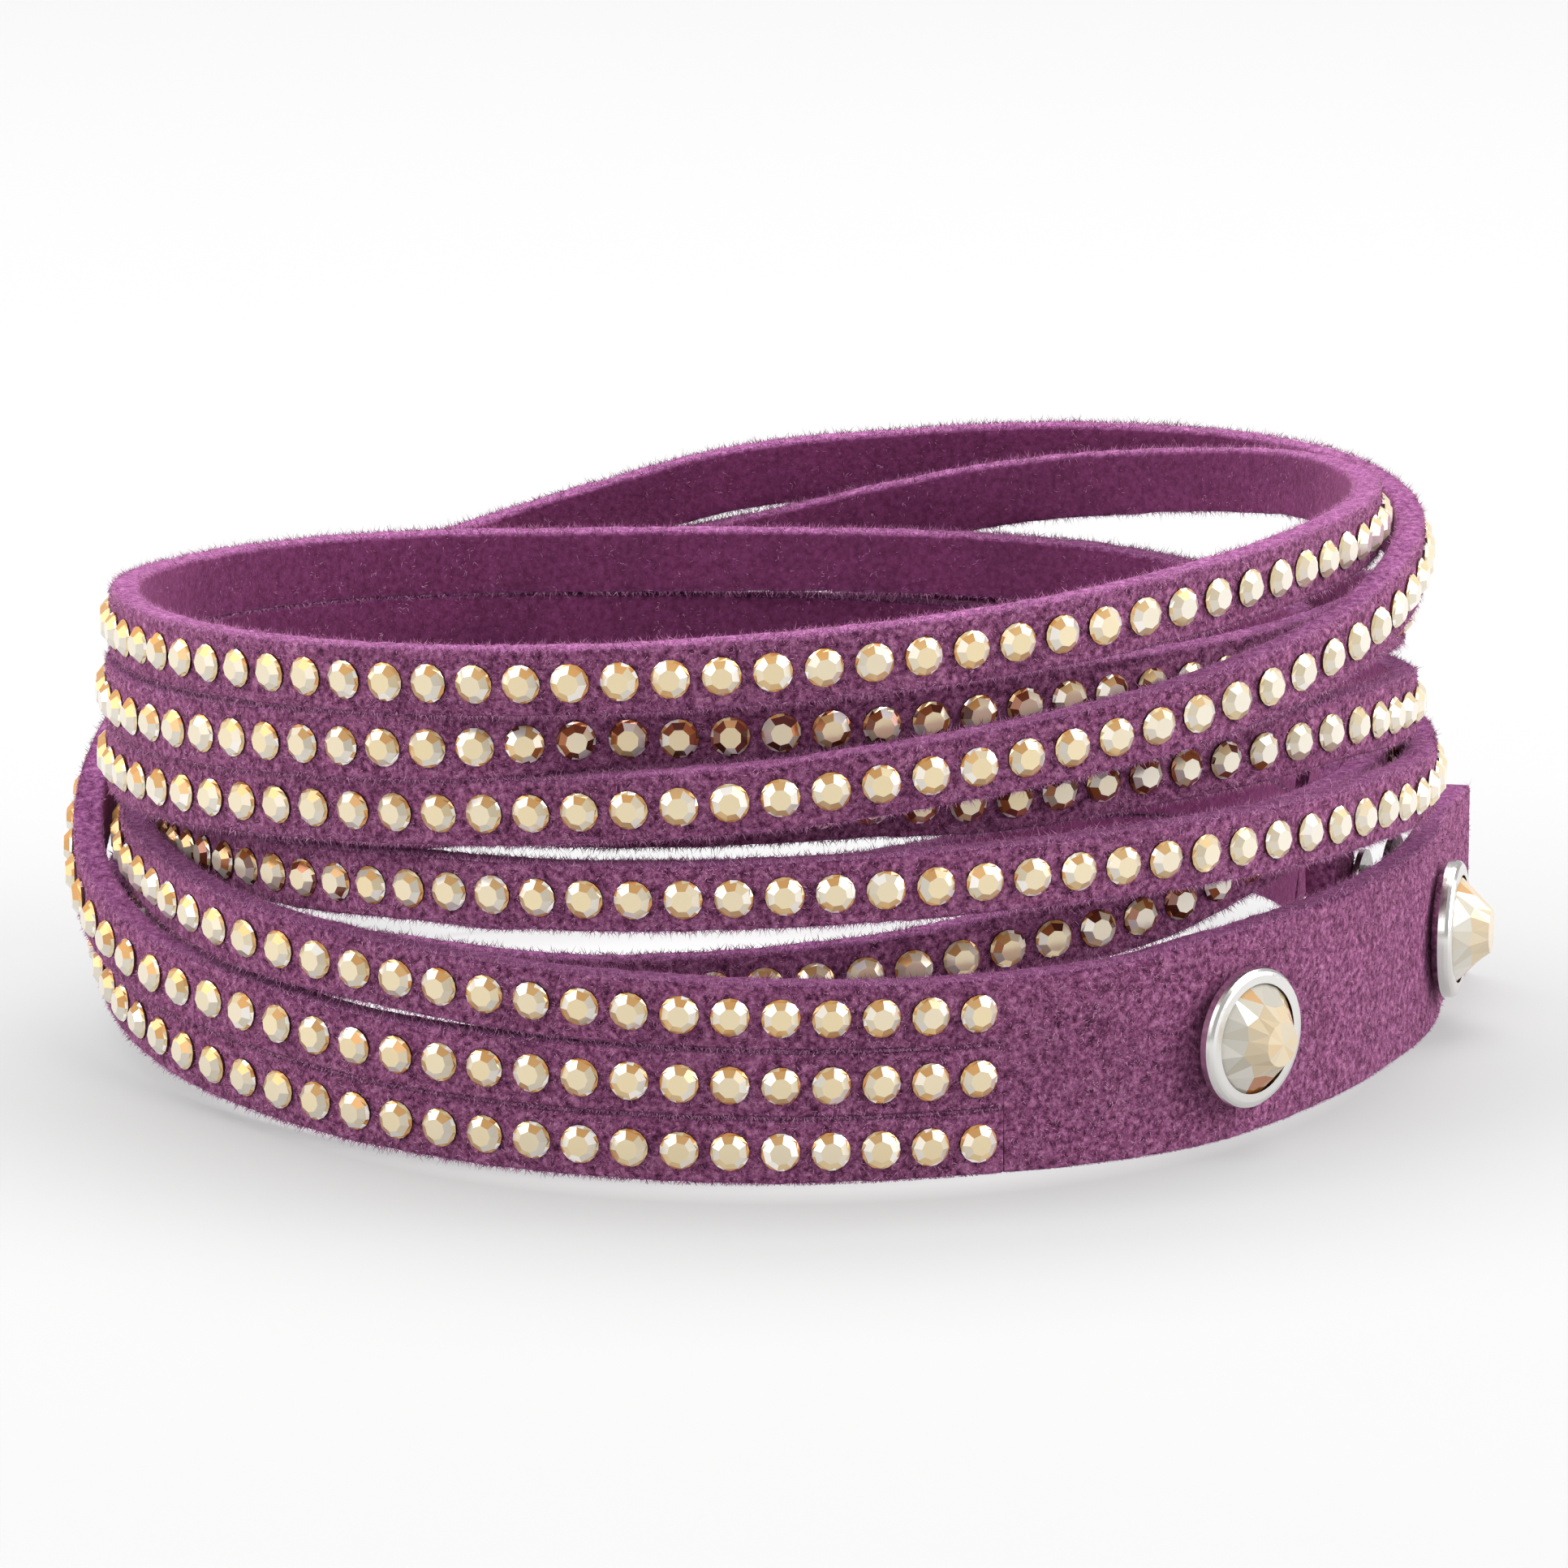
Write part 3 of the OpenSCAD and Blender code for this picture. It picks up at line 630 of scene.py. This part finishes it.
def makeNap(name, nap, inside, seed):
    look = napLook
    rng = np.random.default_rng(seed)
    areas = np.array([band["area"] for band in bands])
    parts = []
    for band, area in zip(bands, areas):
        length = band["length"]
        count = int(nap["count"] * area / areas.sum())
        turns, distance, (ahead, out, up), half = fibreRoots(band, count, rng)
        across = rng.uniform(-0.98, 0.98, count) * half
        face = -out if inside else out
        depth = strapSize["thick"] if inside else 0
        roots = (linePoints(band["path"], turns) + asColumn(across) * up - depth * out
                 - look["sunk"] * face)
        # fibres of a tuft lie the same way and have one shade, and dark pits part the tufts
        tufts = tuftField(rng, length, nap["tuft"])(distance, across)
        swirl = tuftField(rng, length, 1.5 * nap["tuft"])(distance, across)
        patches = tuftField(rng, length, look["patch"])(distance, across)
        angle = (look["brushed"] + look["swirl"] * (swirl - 0.5)
                 + rng.normal(0, look["stray"], count))
        lift = rng.uniform(*nap["lift"], count)
        direction = (asColumn(np.cos(angle)) * ahead + asColumn(np.sin(angle)) * up
                     + asColumn(lift) * face)
        shades = (look["middleShade"] + look["tuftShade"] * (tufts - 0.5)
                  + look["patchShade"] * (patches - 0.5)
                  + rng.uniform(-look["ownShade"], look["ownShade"], count))
        specks = tuftField(rng, length, look["speck"])(distance, across)
        shades = np.where(specks > look["speckFrom"], look["speckShade"] * shades, shades)
        keep = shades > rng.uniform(*look["thinned"], count)
        found = (roots, direction, face, rng.uniform(*nap["length"], count),
                 np.clip(shades, 0, 1))
        parts.append(tuple(values[keep] for values in found))
    makeFibres(name, parts, nap["width"])


def makeFuzz(name, fuzz, seed):
    # fibres that stand out of the cut edges, most of them at the edges' two corners
    look, thick = fuzzLook, strapSize["thick"]
    rng = np.random.default_rng(seed)
    total = sum(band["length"] for band in bands)
    parts = []
    for band in bands:
        count = int(fuzz["count"] * band["length"] / total)
        turns, _, (ahead, out, up), half = fibreRoots(band, count, rng)
        side = np.where(rng.random(count) < 0.5, 1, -1)
        pick = rng.random(count)
        atOuter = rng.uniform(0, look["corner"], count)
        atInner = thick - rng.uniform(0, look["corner"], count)
        between = rng.uniform(look["clear"], thick - look["clear"], count)
        depth = np.where(pick < look["outerShare"], atOuter,
                         np.where(pick < look["outerShare"] + look["innerShare"], atInner, between))
        roots = (linePoints(band["path"], turns) + asColumn(side * (half - look["sunk"])) * up
                 - asColumn(depth) * out)
        stray = rng.normal(0, look["stray"], count)
        tip = rng.uniform(*fuzz["lift"], count)
        outward = rng.normal(look["outward"], look["outwardSpread"], count)
        direction = asColumn(stray) * ahead + asColumn(side * tip) * up + asColumn(outward) * out
        short, long = fuzz["length"]
        lengths = short + (long - short) * rng.random(count) ** fuzz["curve"]
        parts.append((roots, direction, asColumn(side) * up * 0.4 + out, lengths,
                      rng.uniform(*look["shades"], count)))
    makeFibres(name, parts, fuzz["width"])


makeNap("outerNap", outerNap, False, 11)
makeNap("outerTufts", outerTufts, False, 14)
makeNap("innerNap", innerNap, True, 12)
makeFuzz("edgeFuzz", edgeFuzz, 13)
makeFuzz("edgeFringe", edgeFringe, 15)

print("stage: row crystals")

# a stone's turn and tilt are in degrees, and a height is above its flat back
rowCrystal = {
    "across": 1.9, "girdle": 0.14, "crownFoot": 0.92, "crownFootHeight": 0.27, "table": 0.56,
    "height": 0.55, "innerTable": 0.62, "sink": 0.03, "turn": 9, "tilt": 3.5,
}
# painted reflections: how dark or pale each big facet is painted, clockwise from the one painted as
# mirroring the dark top
paintedFacetReflections = [0.5, 0.5, 0.8, 0.86, 0.7, 0.62, 0.72, 0.84]
# where that facet lies, in degrees clockwise from the top, at turn angles round the front
darkFacet = {
    "turns": (0, 45, 70, 90, 112, 130, 165, 200), "lean": (-34, -44, -50, -22, 2, 14, -8, -22),
}
# A tone is 0 for dark amber and 1 for white. Stones are painted clear within some degrees of the
# front and paler past them, as a painted reflection. Painted glints are the share of facets that
# are white.
crystalLook = {
    "front": 95, "clear": 38, "paintedPaleFade": 30, "back": 0.2, "table": (0.74, 0.8),
    "paintedPaleTable": 0.1, "girdle": (0, 0.07), "rim": (0.3, 0.8), "rimPaintedGlints": 0.1,
    "lowRim": (0.25, 0.66), "lowRimPaintedGlints": 0.22, "facetSpread": 0.05, "facetPaintedGlints": 0.03,
    "paintedPale": 0.85, "paintedPaleTopLeft": 0.38, "paintedPaleTopRight": 0.78, "paintedPaleShare": 0.75,
    "covered": (0.05, 0.11, 0.15, 0.2, 0.86), "coveredShare": 0.95,
}
# how far out and how little above a strand another one has to lie to darken its stones with painted
# shade and reflection
overhang = {"further": 1, "furtherFade": 0.5, "above": 4.4, "aboveFade": 1.2}
stoneSides = 16


def pickFaces(piece, test):
    # leaves edit mode's selection on the faces that pass a test of centre and normal
    bpy.ops.object.mode_set(mode="OBJECT")
    for part in (piece.data.vertices, piece.data.edges):
        for item in part:
            item.select = False
    for face in piece.data.polygons:
        face.select = test(face.center, face.normal)
    bpy.ops.object.mode_set(mode="EDIT")


def pickCorners(piece, test):
    bpy.ops.object.mode_set(mode="EDIT")
    bpy.ops.mesh.select_mode(type="VERT")
    bpy.ops.mesh.select_all(action="DESELECT")
    bpy.ops.object.mode_set(mode="OBJECT")
    for corner in piece.data.vertices:
        corner.select = test(corner.co)
    bpy.ops.object.mode_set(mode="EDIT")


def isSecond(co):
    # every second of a ring's corners
    return round(math.degrees(math.atan2(co.y, co.x)) / (360 / stoneSides)) % 2 == 1


def startStone(size):
    # a stone's girdle, with its top face picked in edit mode
    girdle = size["girdle"] * mm
    bpy.ops.mesh.primitive_cylinder_add(vertices=stoneSides, radius=size["across"] / 2 * mm,
                                        depth=girdle, location=(0, 0, girdle / 2))
    piece = bpy.context.object
    bpy.ops.object.transform_apply(location=True, rotation=True, scale=True)
    onlySelect(piece)
    pickFaces(piece, lambda centre, normal: normal.z > 0.9 and abs(centre.z - girdle) < 1e-6)
    return piece


def resizeAcross(scale):
    bpy.ops.transform.resize(value=(scale, scale, 1))


def raiseTop(rise, scale):
    bpy.ops.mesh.extrude_region_move(TRANSFORM_OT_translate={"value": (0, 0, rise * mm)})
    resizeAcross(scale)


def sortMesh(mesh):
    # modelling leaves corners and faces in an order that changes from run to run, so they
    # are sorted by place, and every draw of a tone meets the same facet each time
    spots = [[round(c / mm, 4) for c in corner.co] for corner in mesh.vertices]
    order = sorted(range(len(spots)), key=lambda i: spots[i])
    rank = {old: new for new, old in enumerate(order)}
    points = [mesh.vertices[i].co.copy() for i in order]
    faces = []
    for face in mesh.polygons:
        corners = [rank[i] for i in face.vertices]
        first = corners.index(min(corners))
        faces.append(corners[first:] + corners[:first])
    mesh.clear_geometry()
    mesh.from_pydata(points, [], sorted(faces))


def modelCrystal():
    # a flat-backed brilliant: girdle, a rim of small facets, eight big ones and a table
    size = rowCrystal
    r = size["across"] / 2 * mm
    piece = startStone(size)
    raiseTop(size["crownFootHeight"] - size["girdle"], size["crownFoot"])
    raiseTop(size["height"] - size["crownFootHeight"], size["table"] / size["crownFoot"])
    bpy.ops.mesh.inset(thickness=r * size["table"] * (1 - size["innerTable"]))
    # every second corner of the crown moves in onto its facet's straight edge
    pickCorners(piece, lambda co: co.z > size["girdle"] * mm * 1.01 and co.xy.length > r * 0.4
                and isSecond(co))
    resizeAcross(math.cos(math.radians(360 / stoneSides)))
    bpy.ops.mesh.select_all(action="SELECT")
    bpy.ops.mesh.dissolve_limited(angle_limit=math.radians(2))
    bpy.ops.object.mode_set(mode="OBJECT")
    sortMesh(piece.data)
    return piece


def coveredAt(s, turn):
    # how far a strand lies under the overhang of another one at a turn, from 0 to 1
    path, limit = strandPaths[s], overhang
    most = 0
    for other in strandPaths:
        for lap in (-720, -360, 0, 360, 720):
            near = turn + lap
            if near < strapSize["slitStart"] or near > strapSize["slitEnd"]:
                continue
            above = heightAt(other, near)[0] - heightAt(path, turn)[0]
            further = outAt(other, near)[0] - outAt(path, turn)[0]
            if further > limit["further"] and 0 < above < limit["above"]:
                most = max(most, min(1, (further - limit["further"]) / limit["furtherFade"])
                           * min(1, (limit["above"] - above) / limit["aboveFade"]))
    return most


def crystalTones(mesh, rng, turn, lean, covered):
    # the tone of every face, which paints its reflection and glints; angles are in degrees
    # clockwise from the stone's top
    look = crystalLook
    r = rowCrystal["across"] / 2 * mm
    past = abs(turn % 360 - look["front"]) - look["clear"]
    paintedPale = min(1, max(0, past) / look["paintedPaleFade"])
    onLeft = 90 < turn % 360 < 270
    tones = []
    for face in mesh.polygons:
        spread = face.center.xy.length / r
        angle = math.degrees(math.atan2(face.center.x, face.center.y)) % 360
        if face.normal.z < -0.5:
            tone = look["back"]
        elif face.normal.z > 0.99:
            tone = rng.uniform(*look["table"]) + (0 if onLeft else look["paintedPaleTable"] * paintedPale)
        elif spread > 0.97:
            tone = rng.uniform(*look["girdle"])
        elif spread > 0.86:
            rim = "lowRim" if abs(angle - 180) < 75 else "rim"
            tone = rng.uniform(*look[rim])
            if rng.random() < look[rim + "PaintedGlints"]:
                tone = 1.0
        else:
            tone = paintedFacetReflections[int((angle + 22.5) / 45) % 8]
            tone += rng.uniform(-look["facetSpread"], look["facetSpread"])
            if rng.random() < look["facetPaintedGlints"]:
                tone = 1.0
        if 0.1 < tone < 0.97:
            # painted reflection: past the front a facet is painted paler, its top ones by their own
            # tone
            pale = look["paintedPale"]
            if math.cos(math.radians(angle + lean)) > 0.4 and spread > 0.3:
                pale = look["paintedPaleTopLeft" if onLeft else "paintedPaleTopRight"]
            tone += (pale - tone) * look["paintedPaleShare"] * paintedPale
            # painted reflection and shade: a covered stone's facets, but for its table, are painted
            # the dark of the suede above it
            if spread > 0.3 and rng.random() < look["coveredShare"] * covered:
                tone = rng.choice(look["covered"])
        tones.append(tone)
    return tones


# foil colours and painted reflections as the tone goes from dark to white
rowFoilAndReflections = [(0.0, "#2a110c"), (0.12, "#7c3e26"), (0.22, "#b46c36"), (0.35, "#d8984e"),
           (0.5, "#d3a263"), (0.64, "#e0c490"), (0.76, "#e2d0a8"), (0.86, "#dad3c6"),
           (0.97, "#fffaf2")]
roseCutFoilAndReflections = [(0.0, "#2a110c"), (0.12, "#6b3420"), (0.22, "#a8602c"), (0.35, "#c88a4c"),
               (0.5, "#c09766"), (0.64, "#c9b18c"), (0.76, "#cfbfa2"), (0.86, "#b4b0a4"),
               (0.97, "#fffaf2")]


def makeChampagneCrystal(name, foilAndReflections, mirror, gloss):
    # cut crystal glass with a champagne foil behind it: each facet's tone paints a reflection
    # of the studio in cream, gold or amber, under a clear gloss
    material, tree = newMaterial(name)
    addSurface(tree,
               {"Metallic": mirror, "Roughness": 0.16, "IOR": 1.56, "Coat Weight": gloss,
                "Coat Roughness": 0.02, "Coat IOR": 1.56},
               {"Base Color": addRamp(tree, readMark(tree, "tone"), foilAndReflections)})
    return material


champagneCrystal = makeChampagneCrystal("foilBackedCrystal", rowFoilAndReflections, 0.42, 0.5)
roseCutCrystal = makeChampagneCrystal("foilBackedRoseCut", roseCutFoilAndReflections, 0.2, 0.3)


def seatMatrix(path, turn, lift):
    # where a stone sits: its Y axis up across the strap, its Z axis out of it
    middle = linePoints(path, [turn])[0]
    ahead, out, up = (v[0] for v in facings(path, [turn]))
    place = Matrix.Identity(4)
    for row in range(3):
        place[row][0], place[row][1], place[row][2] = -ahead[row], up[row], out[row]
        place[row][3] = (middle[row] + lift * out[row]) * mm
    return place


def makeRow(name, s, nodes, pattern):
    rng = random.Random(s + 5)
    copies = []
    for turn in stoneTurns(strandPaths[s]):
        copy = addObject(name, pattern.data.copy())
        lean = float(np.interp(turn % 360, darkFacet["turns"], darkFacet["lean"]))
        ownTurn = rng.uniform(-rowCrystal["turn"], rowCrystal["turn"])
        spin = Matrix.Rotation(math.radians(ownTurn - lean), 4, "Z")
        ownTilt = rowCrystal["tilt"]
        tilts = [math.radians(rng.uniform(-ownTilt, ownTilt)) for axis in "XY"]
        tilt = Euler(tilts + [0]).to_matrix().to_4x4()
        tones = crystalTones(copy.data, rng, turn, lean, coveredAt(s, turn))
        setMark(copy, "tone", tones, "FACE")
        place = seatMatrix(strandPaths[s], turn, -rowCrystal["sink"])
        copy.data.transform(place @ tilt @ spin)
        copies.append(copy)
    piece = copies[0]
    onlySelect(piece)
    for copy in copies:
        copy.select_set(True)
    bpy.ops.object.join()
    piece.name = name
    dress(piece.data, champagneCrystal)
    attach(piece, "root")
    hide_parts(*nodes)


crystal = modelCrystal()
for s, place in enumerate(("upper", "middle", "lower")):
    makeRow(place + "RowCrystals", s, (place + "_row_stones", place + "_row_band"), crystal)
bpy.data.objects.remove(crystal)

print("stage: studs and snaps")


def makePlatedMetal(name, colour):
    # polished and plated: a neutral mirror with faint tumbling marks
    material, tree = newMaterial(name)
    marks = addNode(tree, "ShaderNodeTexNoise", {"Scale": 3000, "Detail": 3},
                    {"Vector": objectPlace(tree)}).outputs["Fac"]
    gloss = addNode(tree, "ShaderNodeMapRange", {"To Min": 0.1, "To Max": 0.3}, {"Value": marks})
    addSurface(tree, {"Base Color": linear(colour), "Metallic": 1},
               {"Roughness": gloss.outputs[0], "Normal": addBump(tree, marks, 0.12, 0.03)})
    return material


# rhodium on the studs' brass is bright, and the nickel on the snaps' steel is greyer
silver = makePlatedMetal("rhodiumPlatedBrass", "#e4e2df")
nickel = makePlatedMetal("nickelPlatedSteel", "#98948f")
metals = {"stud_setting_1": silver, "stud_setting_2": silver,
          "snap_socket_1": nickel, "snap_socket_2": nickel, "snap_post": nickel}
for name, metal in metals.items():
    dress(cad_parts[name].data, metal)

print("stage: stud stones")

# The same sizes as the pocket of the setting in the part's source. The heights of the
# shoulder and the crown are above the girdle, the star's above the table, and the shoulder's
# and the table's width are shares of the stone's.
studStone = {
    "turns": (36, -5), "across": 5.9, "foot": 0.5, "girdle": 0.35, "crown": 1.92,
    "shoulder": 0.66, "shoulderHeight": 1.05, "table": 0.38, "star": 0.06,
    "wedge": 0.86, "wedgeRise": 0.1, "turn": 11,
}
# Tones as in the rows, which paint each facet's reflection. Each row of the rim says from which
# angle to which, in degrees clockwise from the top, its facets have some tones: painted grey at the
# left, amber at the bottom and at the right.
studLook = {
    "back": (0.1, 0.25), "shoulder": (0.68, 0.78), "star": (0.64, 0.7, 0.74, 0.76, 0.8),
    "rim": ((215, 350, (0.88, 0.9, 0.84)), (150, 215, (0.25, 0.32, 0.5)),
            (40, 150, (0.4, 0.6, 0.7))),
    "rimTop": (0.86, 0.68, 0.5),
}


def modelStudStone():
    # a rose-cut chaton: girdle, a ring of rim facets, a ring of long ones, and a low star
    size = studStone
    piece = startStone(size)
    raiseTop(size["shoulderHeight"], size["shoulder"])
    raiseTop(size["crown"] - size["shoulderHeight"], size["table"] / size["shoulder"])
    bpy.ops.mesh.poke(offset=size["star"] * mm)
    # every second corner of the shoulder moves in, so that kites and wedges take turns
    shoulder = (size["girdle"] + size["shoulderHeight"]) * mm
    pickCorners(piece, lambda co: abs(co.z - shoulder) < 1e-5 and isSecond(co))
    resizeAcross(size["wedge"])
    bpy.ops.transform.translate(value=(0, 0, size["wedgeRise"] * mm))
    bpy.ops.mesh.select_all(action="SELECT")
    bpy.ops.mesh.quads_convert_to_tris(quad_method="SHORTEST_DIAGONAL")
    bpy.ops.object.mode_set(mode="OBJECT")
    sortMesh(piece.data)
    return piece


def studTones(mesh, rng):
    # painted reflections: each face's tone is grey, amber or cream by where it lies
    r = studStone["across"] / 2 * mm
    found = []
    for face in mesh.polygons:
        spread = face.center.xy.length / r
        angle = math.degrees(math.atan2(face.center.x, face.center.y)) % 360
        if face.normal.z < 0.05:
            found.append(rng.uniform(*studLook["back"]))
        elif spread > 0.7:
            choices = [tones for start, end, tones in studLook["rim"] if start < angle < end]
            found.append(rng.choice(choices[0] if choices else studLook["rimTop"]))
        elif spread > 0.4:
            found.append(rng.uniform(*studLook["shoulder"]))
        else:
            found.append(rng.choice(studLook["star"]))
    return found


def placeStudStone(name, node, turn, pattern, seed):
    piece = addObject(name, pattern.data.copy())
    setMark(piece, "tone", studTones(piece.data, random.Random(seed)), "FACE")
    spin = Matrix.Rotation(math.radians(studStone["turn"]), 4, "Z")
    piece.data.transform(seatMatrix(outerPath, turn, studStone["foot"]) @ spin)
    dress(piece.data, roseCutCrystal)
    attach(piece, "root")
    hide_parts(node)


pattern = modelStudStone()
for i, turn in enumerate(studStone["turns"], 1):
    placeStudStone("roseCutStone%d" % i, "stud_stone_%d" % i, turn, pattern, 20 + i)
bpy.data.objects.remove(pattern)

print("stage: done")
